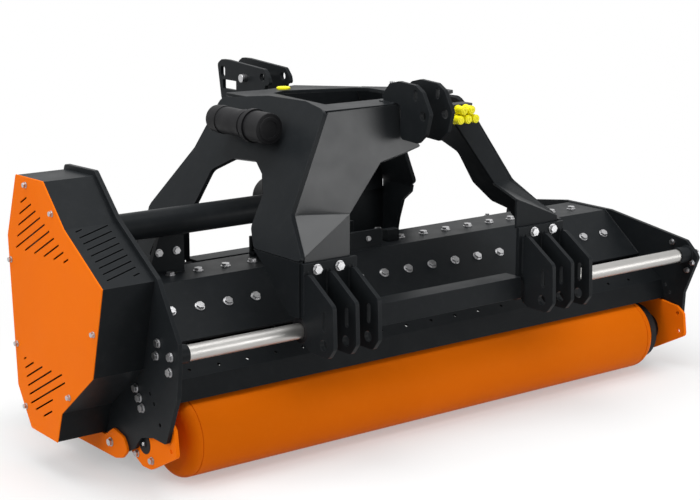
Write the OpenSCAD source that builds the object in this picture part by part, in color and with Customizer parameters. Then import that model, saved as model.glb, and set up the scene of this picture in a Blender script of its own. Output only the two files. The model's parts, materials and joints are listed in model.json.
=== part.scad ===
// Side-shifting flail mower with a reversible three-point hitch tower.
// Working axes: X across the deck, Y from the front slide bar to the rear one, Z up from the ground.

/* [Deck] */
// Inner width between the side plates
deck_w = 1850; // [1750:10:2050]
// Thickness of the side plates
side_t = 12; // [8:1:14]
// Thickness of the folded deck sheet
sheet_t = 8; // [6:1:10]
// Bolts in each of the two rows on the deck
deck_bolt_count = 20; // [16:1:20]
// Distance between neighbouring deck bolts
deck_bolt_pitch = 88.7; // [80:0.1:90]

/* [Slide bars] */
// Diameter of the chromed slide bars
bar_d = 41; // [40:1:46]
// Height of the front slide bar's axis above the ground
bar_z = 368; // [365:1:370]
// Distance between the front and the rear slide bar
bar_span = 790; // [786:1:794]
// Outer diameter of the sliding bushes
bush_d = 66; // [58:1:66]

/* [Rotor] */
// Distance of the rotor axis behind the front slide bar
rotor_y = 430; // [426:1:431]
// Height of the rotor axis above the ground
rotor_z = 250; // [245:1:255]
// Diameter of the rotor tube
rotor_d = 140; // [130:1:146]
// Distance of the hammer pins from the rotor axis
pin_r = 105; // [104:0.5:106]
// Diameter of the hammer pins
pin_d = 20; // [16:1:22]
// Reach of a hammer below its pin
hammer_len = 70; // [64:1:72]

/* [Roller] */
// Diameter of the support roller
roller_d = 216; // [200:1:216]
// Distance of the roller axis behind the front slide bar
roller_y = 136; // [132:1:140]
// Free length between the roller and the side plate at the belt casing
roller_gap = 75; // [60:1:100]
// Free length between the roller and the other side plate
roller_far_gap = 95; // [60:1:120]

/* [Belt drive] */
// Width of the belt casing outside the left side plate
casing_w = 141; // [138:1:160]
// Height of the cross shaft above the ground
cross_z = 598; // [590:1:605]
// Pitch radius of the upper pulley
drive_pulley_r = 80; // [74:1:82]
// Pitch radius of the rotor pulley
rotor_pulley_r = 64; // [58:1:66]
// Number of V-belts side by side
belt_count = 4; // [3:1:4]

/* [Tower] */
// Sideways place of the tower's middle from the deck's middle
tower_x = -85; // [-100:1:-20]
// Half width of the tower at the arch feet
arch_foot = 456; // [450:1:460]
// Lean of the arch plates towards the middle, in degrees
arch_lean = 25.9; // [25:0.1:27]
// Thickness of the arch plates
arch_t = 12; // [8:1:14]
// Distance between the lower hitch plates of one side
hitch_pitch = 71; // [69:0.5:72]
// Half distance between the two innermost lower hitch plates
hitch_inner = 306; // [303:1:308]
// Diameter of the lower link pin holes
lower_pin_d = 28.7; // [22.4:0.1:29]
// Diameter of the top link pin holes
top_pin_d = 25.5; // [19.3:0.1:25.7]

/* [Hidden] */
$fn = 48;

orange = [0.93, 0.45, 0.05];
anthracite = [0.15, 0.16, 0.17];
chrome = [0.74, 0.73, 0.71];
zinc = [0.78, 0.78, 0.79];
black = [0.06, 0.06, 0.07];
yellow = [0.98, 0.93, 0.10];
cast_grey = [0.30, 0.31, 0.32];

running = 0.05;
bolt_head = 9;
half_w = deck_w / 2;
outer_x = half_w + side_t;
mid_y = rotor_y;
tower_y = 430;
rear_drop = 20;
rear_shift = [0, bar_span - 2 * tower_y, -rear_drop];
middle_y = 428.3;
facet_y = -9;
rear_facet = facet_y - rear_shift.y;
rear_y = 2 * tower_y - rear_facet;
bar_places = [[0, bar_z], [bar_span, bar_z - rear_drop]];
boss_d = bar_d + 8;
roller_z = roller_d / 2;
roller_len = deck_w - roller_gap - roller_far_gap;
roller_x = (roller_gap - roller_far_gap) / 2;
axle_d = 40;
casing_x = outer_x + casing_w;
cover_t = 3;
cover_x = casing_x + cover_t;
skid_t = 8;
middle_x = (outer_x + skid_t - cover_x) / 2;
casing_wall = 4;
boss_len = 45;

deck_z = 452;

// Outlines in (Y, Z), as flat cut plates
casing_outline = [
    [476, 764], [329, 767], [227, 663], [44, 549], [106, 314],
    [276, 181], [305, 98], [446, 100], [514, 201], [536, 598]
];
left_plate_outline = [
    [486, 776], [327, 780], [222, 676], [32, 556], [-58, 413], [-57, 345], [-48, 273], [10, 142],
    [72, 143], [130, 128], [166, 89], [207, 68], [230, 60], [690, 60], [742, 130], [800, 280], [815, 340],
    [812, 385], [780, 420], [560, 452], [549, 600]
];
right_plate_outline = [
    [329, 455], [3, 410], [-46, 365], [5, 243], [10, 142], [72, 143],
    [130, 128], [166, 89], [207, 68], [230, 60], [690, 60], [742, 130], [800, 280], [822, 340],
    [815, 385], [780, 420], [531, 455]
];
shell_path = [[197, 334], [350, deck_z], [2 * mid_y - 350, deck_z], [2 * mid_y - 197, 334]];
apron_path = [[196, 324], [140, 297], [98, 268], [82, 214]];
skid_outline = [
    [186, 78], [208, 110], [259, 121], [300, 93], [700, 93], [760, 70], [700, 40], [250, 42], [214, 52]
];
bracket_outline = [
    [-17, 112], [-8, 182], [20, 200], [66, 205], [168, 219], [214, 140], [208, 70], [150, 44], [108, 46]
];
arch_arc = [[650, 549], [588, 562], [531, 613], [513, 706], [431, 746], [326, 752], [277, 724], [241, 680]];
left_arch_outline = concat(
    [[facet_y, 549], [facet_y, 561], [94, 648], [115, 900], [133, 909], [208, 920], [380, 917],
        [596, 891], [634, 750], [768, 549]],
    arch_arc, [[240, 594], [196, 549]]);
right_arch_outline = concat(
    [[rear_facet, 549], [rear_facet, 561], [94, 648], [112, 862], [287, 878], [608, 884],
        [650, 811], [710, 643], [800, 582], [866, 549]],
    arch_arc, [[238, 665], [225, 563], [204, 549]]);
left_front_leg = [[facet_y, 549], [196, 549], [150, 515], [62, 425], [33, 404], [facet_y, 404]];
left_rear_leg = [
    [768, 549], [650, 549], [690, 500], [740, 428], [757, 384.5], [rear_y, 384.5], [rear_y, 503]
];
right_front_leg = [[866, 549], [650, 549], [710, 500], [800, 428], [827, 404], [869, 404], [869, 546]];
right_rear_leg = [
    [rear_facet, 549], [204, 549], [199, 527], [159, 495], [137, 432], [128, 392], [103, 384.5],
    [rear_facet, 384.5]
];
rod_tab = [[684, 336], [684, 392], [735, 440], [760, 400], [752, 388], [745, 336]];
hitch_outline = [
    [-21, 534], [-142, 458], [-146, 350], [-122, 320], [-44, 320], [-12, 345], [-12, 404], [-21, 404]
];
front_clevis_outline = [
    [200, 907], [150, 958], [112, 967], [41, 963], [12, 947], [-21, 892], [-4, 836], [30, 808],
    [103, 812], [103, 907]
];
rear_clevis_outline = [
    [721, 895], [727, 918], [748, 941], [945, 953], [980, 952], [1004, 938], [985, 834], [960, 800],
    [753.7, 800], [745.8, 895]
];

arch_z = 549;
knee_y = 94;
knee_z = 648;
hood_lean = 4.7;
hood_shift = [0, 8, -5];
foot_z = 545.5;
top_z = 895;
top_t = 10;
pulley_x0 = -1060;
pulley_w = 92;
groove_pitch = 19;
groove_w = 11;
groove_depth = 12;
belt_w = 9;
belt_gap = 1;
belt_t = 11;
idler_r = 40;
idler_z = 440;
tension_drop = 110;
stub_d = 60;
cross_d = 45;
pto_d = 34.9;
pto_bearing_d = pto_d + 5;
pto_half = 205;
gearbox_x = -235;
gearbox_half = [66, 76, 92];
gearbox_neck = 150;
tube_d = 76;
tube_bore = 64;
tube_end = gearbox_x - 84;
tube_bracket_y = mid_y + 12;
cylinder_y = 705;
cylinder_z = 360;
rod_d = 36;
barrel_x0 = 130;
barrel_x1 = 772;
canister_z = 853;
canister_dx = -376;
canister_d = 74;
cap_d = 84;
collar_d = 92;
coupler_y = 164;
coupler_t = 38;
nipple_d = 18;
coupler_places = [[209, 864], [237, 864], [197, 838], [225, 838], [253, 838]];
clevis_half = 38;
clevis_t = 12;
pin_y = 849;
pin_z = 906;
link_pin_d = 25;
hitch_t = 12;
hitch_x0 = 285;
hitch_w = 170;
hammer_count = 12;
hammer_pitch = 140;
hammer_half = 14;
hammer_foot = 40;
hammer_depth = 44;
lug_t = 12;
lug_r = 25;
lug_half = 22;

// Helper functions
function unit(v) = v / norm(v);

function fillet(a, b, c, r, n) =
    let (
        u = unit(a - b),
        w = unit(c - b),
        half = acos(max(-1, min(1, u * w))) / 2,
        d = min(r / tan(half), 0.45 * norm(a - b), 0.45 * norm(c - b)),
        rr = d * tan(half),
        middle = b + unit(u + w) * rr / sin(half),
        p0 = b + u * d - middle,
        p1 = b + w * d - middle,
        a0 = atan2(p0.y, p0.x),
        sweep = (atan2(p1.y, p1.x) - a0 + 540) % 360 - 180
    )
    [for (i = [0:n]) middle + rr * [cos(a0 + sweep * i / n), sin(a0 + sweep * i / n)]];

// Closed outline with every corner rounded to radius r
function rounded(p, r, n = 4) =
    let (k = len(p))
    [for (i = [0:k - 1]) each fillet(p[(i + k - 1) % k], p[i], p[(i + 1) % k], r, n)];

function side_normal(a, b) = let (d = unit(b - a)) [-d.y, d.x];

function mitre(n1, n2, t) = t * (n1 + n2) / (1 + n1 * n2);

// Open path thickened to its left by t
function sheet(p, t) =
    let (k = len(p) - 1)
    concat(p, [for (i = [k:-1:0])
        i == 0 ? p[0] + t * side_normal(p[0], p[1])
        : i == k ? p[k] + t * side_normal(p[k - 1], p[k])
        : p[i] + mitre(side_normal(p[i - 1], p[i]), side_normal(p[i], p[i + 1]), t)]);

// Closed outline moved to its left by t
function inset(p, t) =
    let (k = len(p))
    [for (i = [0:k - 1])
        let (a = p[(i + k - 1) % k], c = p[(i + 1) % k])
        p[i] + mitre(side_normal(a, p[i]), side_normal(p[i], c), t)];

// Distance of an arch plate's middle from the tower's middle at height z
function arch_dx(z) = arch_foot - (z - arch_z) * tan(arch_lean);

function arch_inner(z) = arch_dx(z) - arch_t / 2 / cos(arch_lean) - 0.5;

// Tangent normal of the belt's front run, and points of a belt loop at extra radius e
belt_nz = (drive_pulley_r - rotor_pulley_r) / (cross_z - rotor_z);
belt_turn = asin(belt_nz);
belt_n = [-cos(belt_turn), belt_nz];

function belt_loop(e) = concat(
    [for (i = [0:24]) let (a = -belt_turn + 180 * i / 24 + 2 * belt_turn * i / 24)
        [mid_y, cross_z] + (drive_pulley_r + e) * [cos(a), sin(a)]],
    [for (i = [0:24]) let (a = 180 + belt_turn + (180 - 2 * belt_turn) * i / 24)
        [mid_y, rotor_z] + (rotor_pulley_r + e) * [cos(a), sin(a)]]);

idler_c = [mid_y, idler_z]
    + belt_n * (rotor_pulley_r + (idler_z - rotor_z) * belt_nz + belt_gap + belt_t + idler_r + 1);
arm_pivot = idler_c + [0, tension_drop];

function hammer_x(i) = (i - (hammer_count - 1) / 2) * hammer_pitch;

function hammer_side(i) = i % 2 == 0 ? 1 : -1;

// Helper shapes
module place() {
    translate([-middle_x, -middle_y, 0])
        children();
}

module along_x(x0, x1) {
    translate([x0, 0, 0])
        rotate([90, 0, 90])
            linear_extrude(x1 - x0)
                children();
}

module plate_x(outline, x0, x1, r = 12) {
    along_x(x0, x1)
        polygon(rounded(outline, r));
}

module rod_x(y, z, d, x0, x1) {
    translate([x0, y, z])
        rotate([0, 90, 0])
            cylinder(d = d, h = x1 - x0);
}

module rod_y(x, z, d, y0, y1) {
    translate([x, y0, z])
        rotate([-90, 0, 0])
            cylinder(d = d, h = y1 - y0);
}

module slot_x(y, z, w, h, x0, x1) {
    for (dz = [-1, 1])
        rod_x(y, z + dz * (h - w) / 2, w, x0, x1);
    along_x(x0, x1)
        translate([y - w / 2, z - (h - w) / 2])
            square([w, h - w]);
}

// Hexagon bolt head on its washer, standing on z = 0
module bolt(d = 14) {
    cylinder(d = 2 * d, h = 2);
    cylinder(d = 1.7 * d, h = bolt_head, $fn = 6);
}

// Half turn about the tower's own upright axis
module half_turn() {
    translate([2 * tower_x, 2 * tower_y, 0])
        rotate(180)
            children();
}

// At the rear bar, as a half turn copy that is moved to it
module rear_end() {
    translate(rear_shift)
        half_turn()
            children();
}

module both_ends() {
    children();
    rear_end()
        children();
}

module both_sides() {
    children();
    mirror([1, 0, 0])
        children();
}

// Bent plate through the corners of a loop, seen clockwise from its front, thickened by a shift
module bent_plate(loop, facets, shift) {
    k = len(loop);
    polyhedron(
        concat(loop, [for (p = loop) p + shift]),
        concat(
            facets,
            [for (f = facets) [f[2] + k, f[1] + k, f[0] + k]],
            [for (i = [0:k - 1]) let (j = (i + 1) % k) [i, i + k, j + k, j]]));
}

// Deck
module vent_slot(x0, x1, w) {
    translate([x0, -w / 2, -20])
        cube([x1 - x0, w, 40]);
}

module left_side_plate() {
    color(anthracite)
        difference() {
            union() {
                plate_x(left_plate_outline, -outer_x, -half_w);
                rod_x(arm_pivot.x, arm_pivot.y, 20, -outer_x - 18, -outer_x + 1);
            }
            rod_x(mid_y, rotor_z, stub_d + 6, -outer_x - 1, -half_w + 1);
            rod_x(mid_y, cross_z, cross_d + 6, -outer_x - 1, -half_w + 1);
            for (p = [[80, 256], [62, 234], [36, 186]])
                rod_x(p.x, p.y, 11, -outer_x - 1, -half_w + 1);
        }
}

module right_side_plate() {
    color(anthracite)
        difference() {
            plate_x(right_plate_outline, half_w, outer_x);
            for (p = [[80, 256], [62, 234], [36, 186]])
                rod_x(p.x, p.y, 11, half_w - 1, outer_x + 1);
        }
}

module deck_shell() {
    color(anthracite)
        along_x(-half_w, half_w)
            polygon(sheet(shell_path, -sheet_t));
}

module apron_sheet() {
    difference() {
        along_x(-half_w, half_w)
            polygon(sheet(apron_path, 6));
        for (i = [0:deck_bolt_count - 2])
            translate([deck_x(i) + deck_bolt_pitch / 2, 119, 282])
                rotate([35, 0, 0])
                    cylinder(d = 10, h = 30, center = true);
    }
}

function deck_x(i) = (i - (deck_bolt_count - 1) / 2) * deck_bolt_pitch;

module front_apron() {
    color(anthracite)
        apron_sheet();
}

module rear_apron() {
    color(anthracite)
        translate([0, 2 * mid_y, 0])
            mirror([0, 1, 0])
                apron_sheet();
}

module rear_curtain() {
    color(black)
        along_x(-half_w + 4, half_w - 4)
            polygon(sheet([for (p = [[94.8, 258], [81.7, 213.6], [80, 114]]) [2 * mid_y - p.x, p.y]], 5));
}

module counter_blades() {
    color(cast_grey) {
        along_x(-half_w + 10, half_w - 10)
            polygon(sheet([[233, 350.6], [327, 423.1]], -8));
        translate([-half_w + 10, 402, 432])
            cube([deck_w - 20, 40, 12]);
    }
}

module deck_bolts() {
    low = shell_path[0];
    slope = unit(shell_path[1] - low);
    front_row = low + 99.8 * slope;
    color(zinc)
        for (i = [0:deck_bolt_count - 1]) {
            translate([deck_x(i), front_row.x, front_row.y])
                rotate([atan2(slope.y, slope.x), 0, 0])
                    bolt();
            translate([deck_x(i), mid_y - 8, deck_z])
                bolt();
        }
}

module slide_bars() {
    color(chrome)
        for (p = bar_places)
            rod_x(p.x, p.y, bar_d, -half_w, half_w);
}

module bar_bosses() {
    color(anthracite)
        both_sides()
            for (p = bar_places)
                difference() {
                    rod_x(p.x, p.y, boss_d, half_w - boss_len, half_w);
                    rod_x(p.x, p.y, bar_d, half_w - boss_len - 1, half_w + 1);
                }
}

module bolt_x(y, z, x, s, d = 14) {
    translate([x, y, z])
        rotate([0, s * 90, 0])
            bolt(d);
}

module plate_bolts() {
    boss_bolts = [[35, 396], [44, 362], [-24, 374], [-18, 334]];
    rear_bolts = [[750, 385], [744, 330], [792, 306]];
    color(zinc) {
        for (p = concat(boss_bolts, rear_bolts), s = [-1, 1])
            bolt_x(p.x, p.y, s * outer_x, s, 12);
        for (p = [[58, 396], [-26, 345], [-6, 318]], s = [-1, 1])
            bolt_x(p.x, p.y, s * half_w, -s, 9);
        for (p = [[148, 254], [132, 232], [119, 209]], s = [-1, 1])
            bolt_x(p.x, p.y, s * outer_x, s, 12);
        for (p = [[271, 80], [640, 70]], s = [-1, 1])
            bolt_x(p.x, p.y, s * (outer_x + skid_t), s, 12);
        for (p = [[174, 72], [102, 72]], s = [-1, 1])
            bolt_x(p.x, p.y, s * (half_w - 2), s, 10);
        for (p = [[421, 746], [285, 694], [522, 536], [508, 313], [92, 429], [229, 236], [471, 152]])
            bolt_x(p.x, p.y, -cover_x, -1, 8);
        for (x = [-633, -688])
            translate([x, tube_bracket_y, 513])
                rotate([90, 0, 0])
                    bolt(11);
    }
}

module belt_housing() {
    face = unit(casing_outline[3] - casing_outline[2]);
    vent_slant = 17.8;
    color(anthracite)
        difference() {
            along_x(-casing_x, -outer_x)
                difference() {
                    polygon(casing_outline);
                    polygon(inset(casing_outline, casing_wall));
                }
            for (i = [0:9]) {
                start = casing_outline[2] + face * (13 + 22 * i);
                translate([-casing_x + 24, start.x, start.y])
                    rotate([atan2(face.y, face.x), 0, 0])
                        rotate([0, 0, -vent_slant])
                            vent_slot(i == 9 ? 77 : 0, i == 0 ? 21 : 98, 4);
            }
        }
}

// One slanted cover slot of the given length from its end a
module cover_slot(a, length) {
    lie = [0.884, -0.468];
    wide = [2.3, 4.4];
    along_x(-cover_x - 1, -casing_x + 1)
        polygon([a, a + lie * length, a + lie * length + wide, a + wide]);
}

module belt_cover() {
    upper_lengths = [40, 77, 114, 151, 188, 158, 126, 94, 62, 30];
    lower_ends = concat([for (i = [0:5]) [475 - 6 * i, 276 - 22.5 * i]], [[418, 153], [376, 146]]);
    lower_lengths = [18, 58, 105, 155, 212, 222, 112, 58];
    color(orange)
        difference() {
            along_x(-cover_x, -casing_x)
                polygon(casing_outline);
            for (i = [0:9])
                cover_slot([419, 712] - i * [23.6, 13.4], upper_lengths[i]);
            for (i = [0:7])
                cover_slot(lower_ends[i], -lower_lengths[i]);
        }
}

module skids() {
    color(orange)
        both_sides()
            plate_x(skid_outline, outer_x, outer_x + skid_t, 18);
}

module roller_brackets() {
    color(orange)
        both_sides()
            difference() {
                plate_x(bracket_outline, half_w - 12, half_w - 2, 14);
                rod_x(roller_y, roller_z, 52, half_w - 20, half_w);
                for (p = [[16, 178], [9, 122]])
                    rod_x(p.x, p.y, 12, half_w - 20, half_w);
            }
}

// Bearing between the roller's end at end_x and the bracket beside it
module roller_bearing(end_x, collar_d, flange_d) {
    collar_x = end_x + 6;
    flange_x = collar_x + 22;
    difference() {
        union() {
            rod_x(roller_y, roller_z, collar_d, collar_x, flange_x);
            rod_x(roller_y, roller_z, flange_d, flange_x, half_w - 12);
            rod_x(roller_y, roller_z, 52, half_w - 12, half_w - 2);
            rod_x(roller_y, roller_z, 54, half_w - 2, half_w - 0.3);
        }
        rod_x(roller_y, roller_z, axle_d + 2 * running, collar_x - 1, half_w - 3);
    }
}

module roller_bearings() {
    color(black) {
        roller_bearing(half_w - roller_far_gap, roller_d - 40, 90);
        mirror([1, 0, 0])
            roller_bearing(half_w - roller_gap, 60, 76);
    }
}

module shaft_bearings() {
    color(cast_grey) {
        both_sides()
            difference() {
                rod_x(mid_y, rotor_z, 150, half_w - 26, half_w);
                rod_x(mid_y, rotor_z, stub_d + 2 * running, half_w - 30, half_w + 1);
            }
        difference() {
            rod_x(mid_y, cross_z, 110, -outer_x - 20, -outer_x);
            rod_x(mid_y, cross_z, cross_d + 2 * running, -outer_x - 21, -outer_x + 1);
        }
    }
}

// Drive line
module gearbox_housing() {
    color(cast_grey)
        difference() {
            union() {
                translate([gearbox_x, mid_y, cross_z] - gearbox_half)
                    cube(2 * gearbox_half);
                rod_x(mid_y, cross_z, 130, tube_end, gearbox_x + gearbox_half.x + 15);
                rod_y(gearbox_x, cross_z, 110, mid_y - gearbox_neck, mid_y + gearbox_neck);
                translate([gearbox_x, mid_y, cross_z + gearbox_half.z])
                    cylinder(d = 60, h = 14);
            }
            rod_x(mid_y, cross_z, cross_d + 2 * running, tube_end - 1, gearbox_x - 25);
            rod_y(gearbox_x, cross_z, pto_bearing_d + 2 * running, mid_y - gearbox_neck - 1,
                mid_y + gearbox_neck + 1);
        }
}

module gearbox_stand() {
    stand_x0 = gearbox_x - 120;
    stand_x1 = gearbox_x + 247;
    web_y = 62;
    web_t = 12;
    foot_w = 26;
    foot_t = 10;
    color(anthracite) {
        for (s = [0, 1])
            translate([0, mid_y, deck_z])
                mirror([0, s, 0]) {
                    translate([stand_x0, web_y, 0])
                        cube([stand_x1 - stand_x0, web_t, cross_z - gearbox_half.z - deck_z]);
                    translate([stand_x0, web_y - foot_w + web_t, 0])
                        cube([stand_x1 - stand_x0, foot_w, foot_t]);
                }
        translate([stand_x1 + 48, mid_y - 38, deck_z])
            cube([44, 26, 36]);
    }
}

module drive_tube() {
    bracket_outline_xz = [
        [-670, cross_z], [-608, cross_z], [-608, deck_z], [-730, deck_z], [-714, 479]
    ];
    color(anthracite)
        difference() {
            union() {
                rod_x(mid_y, cross_z, tube_d, -half_w, tube_end);
                rod_x(mid_y, cross_z, 120, -half_w, -half_w + 10);
                translate([0, tube_bracket_y + 16, 0])
                    rotate([90, 0, 0])
                        linear_extrude(16)
                            polygon(bracket_outline_xz);
            }
            rod_x(mid_y, cross_z, tube_bore, -half_w - 1, tube_end + 1);
        }
}

module cylinder_barrel() {
    lug_outline = [[612, 374], [640, 396], [700, 400], [738, 380], [738, 340], [700, 322], [663, 335]];
    color(anthracite)
        difference() {
            union() {
                rod_x(cylinder_y, cylinder_z, 56, barrel_x0, barrel_x1);
                rod_x(cylinder_y, cylinder_z, 64, barrel_x0, barrel_x0 + 35);
                along_x(barrel_x1, barrel_x1 + 18)
                    polygon(rounded(lug_outline, 10));
            }
            rod_x(cylinder_y, cylinder_z, rod_d + 2 * running, barrel_x0 - 1, barrel_x1 - 32);
        }
}

module belt_ring(x0, x1) {
    along_x(x0, x1)
        difference() {
            polygon(belt_loop(belt_gap + belt_t));
            polygon(belt_loop(belt_gap));
        }
}

module drive_belts() {
    color(black)
        for (i = [0:belt_count - 1])
            belt_ring(groove_x(i) - belt_w / 2, groove_x(i) + belt_w / 2);
}

function groove_x(i) = pulley_x0 + pulley_w / 2 + (i - (belt_count - 1) / 2) * groove_pitch;

module pulley(y, z, r, bore) {
    color(cast_grey)
        difference() {
            rod_x(y, z, 2 * r + 2 * groove_depth, pulley_x0, pulley_x0 + pulley_w);
            rod_x(y, z, bore, pulley_x0 - 1, pulley_x0 + pulley_w + 1);
            for (i = [0:belt_count - 1])
                difference() {
                    rod_x(y, z, 2 * r + 4 * groove_depth, groove_x(i) - groove_w / 2,
                        groove_x(i) + groove_w / 2);
                    rod_x(y, z, 2 * r, groove_x(i) - groove_w, groove_x(i) + groove_w);
                }
        }
}

module drive_pulley() {
    pulley(mid_y, cross_z, drive_pulley_r, cross_d);
}

module rotor_pulley() {
    pulley(mid_y, rotor_z, rotor_pulley_r, stub_d);
}

module tensioner_arm() {
    color(cast_grey)
        difference() {
            union() {
                along_x(-outer_x - 12, -outer_x - 1)
                    polygon([
                        arm_pivot + [-20, 0], arm_pivot + [20, 0],
                        idler_c + [20, 0], idler_c + [-20, 0]]);
                rod_x(arm_pivot.x, arm_pivot.y, 44, -outer_x - 12, -outer_x - 1);
                rod_x(idler_c.x, idler_c.y, 40, -outer_x - 12, -outer_x - 1);
                rod_x(idler_c.x, idler_c.y, 20, pulley_x0 - 4, -outer_x - 6);
            }
            rod_x(arm_pivot.x, arm_pivot.y, 20 + 2 * running, -outer_x - 20, -outer_x);
        }
}

module idler_pulley() {
    color(chrome)
        difference() {
            union() {
                rod_x(idler_c.x, idler_c.y, 2 * idler_r, pulley_x0, pulley_x0 + pulley_w);
                for (x = [pulley_x0, pulley_x0 + pulley_w - 6])
                    rod_x(idler_c.x, idler_c.y, 2 * idler_r + 1, x, x + 6);
            }
            rod_x(idler_c.x, idler_c.y, 20 + 2 * running, pulley_x0 - 5, pulley_x0 + pulley_w + 1);
        }
}

module cross_shaft() {
    color(chrome)
        rod_x(mid_y, cross_z, cross_d, pulley_x0 - 4, gearbox_x - 30);
}

module pto_shaft() {
    color(chrome) {
        rod_y(gearbox_x, cross_z, pto_bearing_d, mid_y - gearbox_neck, mid_y + gearbox_neck);
        rod_y(gearbox_x, cross_z, pto_d, mid_y - pto_half, mid_y + pto_half);
    }
}

module roller() {
    end_r = 28;
    end_at = roller_len / 2 - end_r;
    groove_at = end_at - 5;
    hollow_half = roller_len / 2 - 40;
    color(orange)
        difference() {
            union() {
                translate([roller_x, roller_y, roller_z])
                    rotate([0, 90, 0])
                        rotate_extrude($fn = 96)
                            polygon(concat(
                                [[0, -roller_len / 2], [0, roller_len / 2]],
                                [for (a = [90:-10:0])
                                    [roller_z - end_r + end_r * cos(a), end_at + end_r * sin(a)]],
                                [for (s = [1, -1], d = s > 0 ? [-3, 3] : [3, -3])
                                    [roller_z, s * (groove_at - d)]],
                                [for (a = [0:-10:-90])
                                    [roller_z - end_r + end_r * cos(a), -end_at + end_r * sin(a)]]));
                rod_x(roller_y, roller_z, axle_d, -half_w + 4, half_w - 4);
            }
            for (s = [-1, 1])
                translate([roller_x + s * groove_at, roller_y, roller_z])
                    rotate([0, 90, 0])
                        rotate_extrude($fn = 96)
                            translate([roller_z, 0])
                                circle(r = 2, $fn = 16);
            difference() {
                rod_x(roller_y, roller_z, roller_d - 16, roller_x - hollow_half, roller_x + hollow_half);
                rod_x(roller_y, roller_z, axle_d, -roller_len, roller_len);
            }
            translate([roller_x, roller_y, roller_z])
                cylinder(d = 10, h = roller_d);
        }
}

module rotor() {
    color(cast_grey) {
        difference() {
            union() {
                rod_x(mid_y, rotor_z, rotor_d, -half_w + 40, half_w - 40);
                rod_x(mid_y, rotor_z, stub_d, pulley_x0 - 4, half_w - 4);
            }
            difference() {
                rod_x(mid_y, rotor_z, rotor_d - 20, -half_w + 70, half_w - 70);
                rod_x(mid_y, rotor_z, stub_d, -half_w, half_w);
            }
            translate([0, mid_y, rotor_z])
                cylinder(d = 10, h = rotor_d);
        }
        for (i = [0:hammer_count - 1])
            hammer_lugs(hammer_x(i), hammer_side(i));
    }
}

// Pair of lugs with the pin that carries one hammer
module hammer_lugs(x, s) {
    root = rotor_d / 2 - 10;
    for (e = [-1, 1])
        difference() {
            along_x(x + e * lug_half - lug_t / 2, x + e * lug_half + lug_t / 2)
                union() {
                    translate([mid_y + s * pin_r, rotor_z])
                        circle(r = lug_r);
                    translate([mid_y + (s > 0 ? root : -pin_r), rotor_z - lug_r])
                        square([pin_r - root, 2 * lug_r]);
                }
            rod_x(mid_y, rotor_z, rotor_d - 4, x - 2 * lug_half, x + 2 * lug_half);
        }
    rod_x(mid_y + s * pin_r, rotor_z, pin_d, x - lug_half - lug_t, x + lug_half + lug_t);
}

module hammer(i) {
    x = hammer_x(i);
    y = mid_y + hammer_side(i) * pin_r;
    color(cast_grey)
        difference() {
            union() {
                rod_x(y, rotor_z, hammer_depth, x - hammer_half, x + hammer_half);
                translate([x - hammer_half, y - hammer_depth / 2, rotor_z - hammer_len + 8])
                    cube([2 * hammer_half, hammer_depth, hammer_len - 8]);
                translate([x - hammer_foot, y - hammer_depth / 2, rotor_z - hammer_len])
                    cube([2 * hammer_foot, hammer_depth, hammer_len - lug_r - 7]);
            }
            rod_x(y, rotor_z, pin_d + 0.16, x - lug_half, x + lug_half);
        }
}

// Tower
module arch_plate(outline) {
    translate([tower_x - arch_foot, 0, arch_z])
        rotate([0, arch_lean, 0])
            along_x(-arch_t / 2, arch_t / 2)
                polygon(rounded([for (p = outline) [p.x, (p.y - arch_z) / cos(arch_lean)]], 25));
}

module leg_plate(outline) {
    along_x(tower_x - arch_foot - arch_t / 2, tower_x - arch_foot + arch_t / 2)
        polygon(outline);
}

module left_arch() {
    color(anthracite) {
        arch_plate(left_arch_outline);
        for (outline = [left_front_leg, left_rear_leg, rod_tab])
            leg_plate(outline);
    }
}

module right_arch() {
    color(anthracite)
        half_turn() {
            arch_plate(right_arch_outline);
            for (outline = [right_front_leg, right_rear_leg])
                leg_plate(outline);
        }
}

function hood_point(x, z) = [x, knee_y + (z - knee_z) * tan(hood_lean), z];

// Wide hood over the front left leg, with the given foot and upper corners
module wide_hood(y_foot, z_foot, z_top, x_tip, z_tip) {
    translate([tower_x, 0, 0])
        bent_plate([
            hood_point(-arch_inner(z_top), z_top), hood_point(x_tip, z_tip), hood_point(29, 786),
            hood_point(-27, 772), hood_point(-110, 755), hood_point(-221, 630),
            [-299, y_foot, 656], [-299, y_foot, z_foot], [-444, y_foot, z_foot],
            [-arch_inner(561), y_foot, 561], hood_point(-arch_inner(knee_z), knee_z)
        ], [
            [0, 1, 2], [0, 2, 3], [0, 3, 4], [0, 4, 10], [4, 5, 10],
            [10, 5, 6], [10, 6, 9], [9, 6, 7], [9, 7, 8]
        ], hood_shift);
}

// Narrow strip down the front right leg, at the given distances from the front bar
module leg_strip(y_top, y_knee, y_foot) {
    translate([tower_x, 0, 0])
        bent_plate([
            [arch_inner(855) - 85, y_top, 855], [arch_inner(855), y_top, 855],
            [arch_inner(643), y_knee, 643], [arch_inner(561), y_foot, 561], [444, y_foot, foot_z],
            [285, y_foot, foot_z], [285, y_foot, 626], [arch_inner(643) - 60, y_knee, 643]
        ], [
            [0, 1, 2], [0, 2, 7], [7, 2, 3], [7, 3, 6], [6, 3, 4], [6, 4, 5]
        ], hood_shift);
}

module front_hood() {
    color(anthracite) {
        wide_hood(facet_y, foot_z, 903, -46, 905);
        leg_strip(212, 150, facet_y);
    }
}

module rear_hood() {
    color(anthracite)
        half_turn() {
            wide_hood(rear_facet, foot_z - rear_drop, 860, 60, 884);
            leg_strip(255, 158, 96);
        }
}

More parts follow.
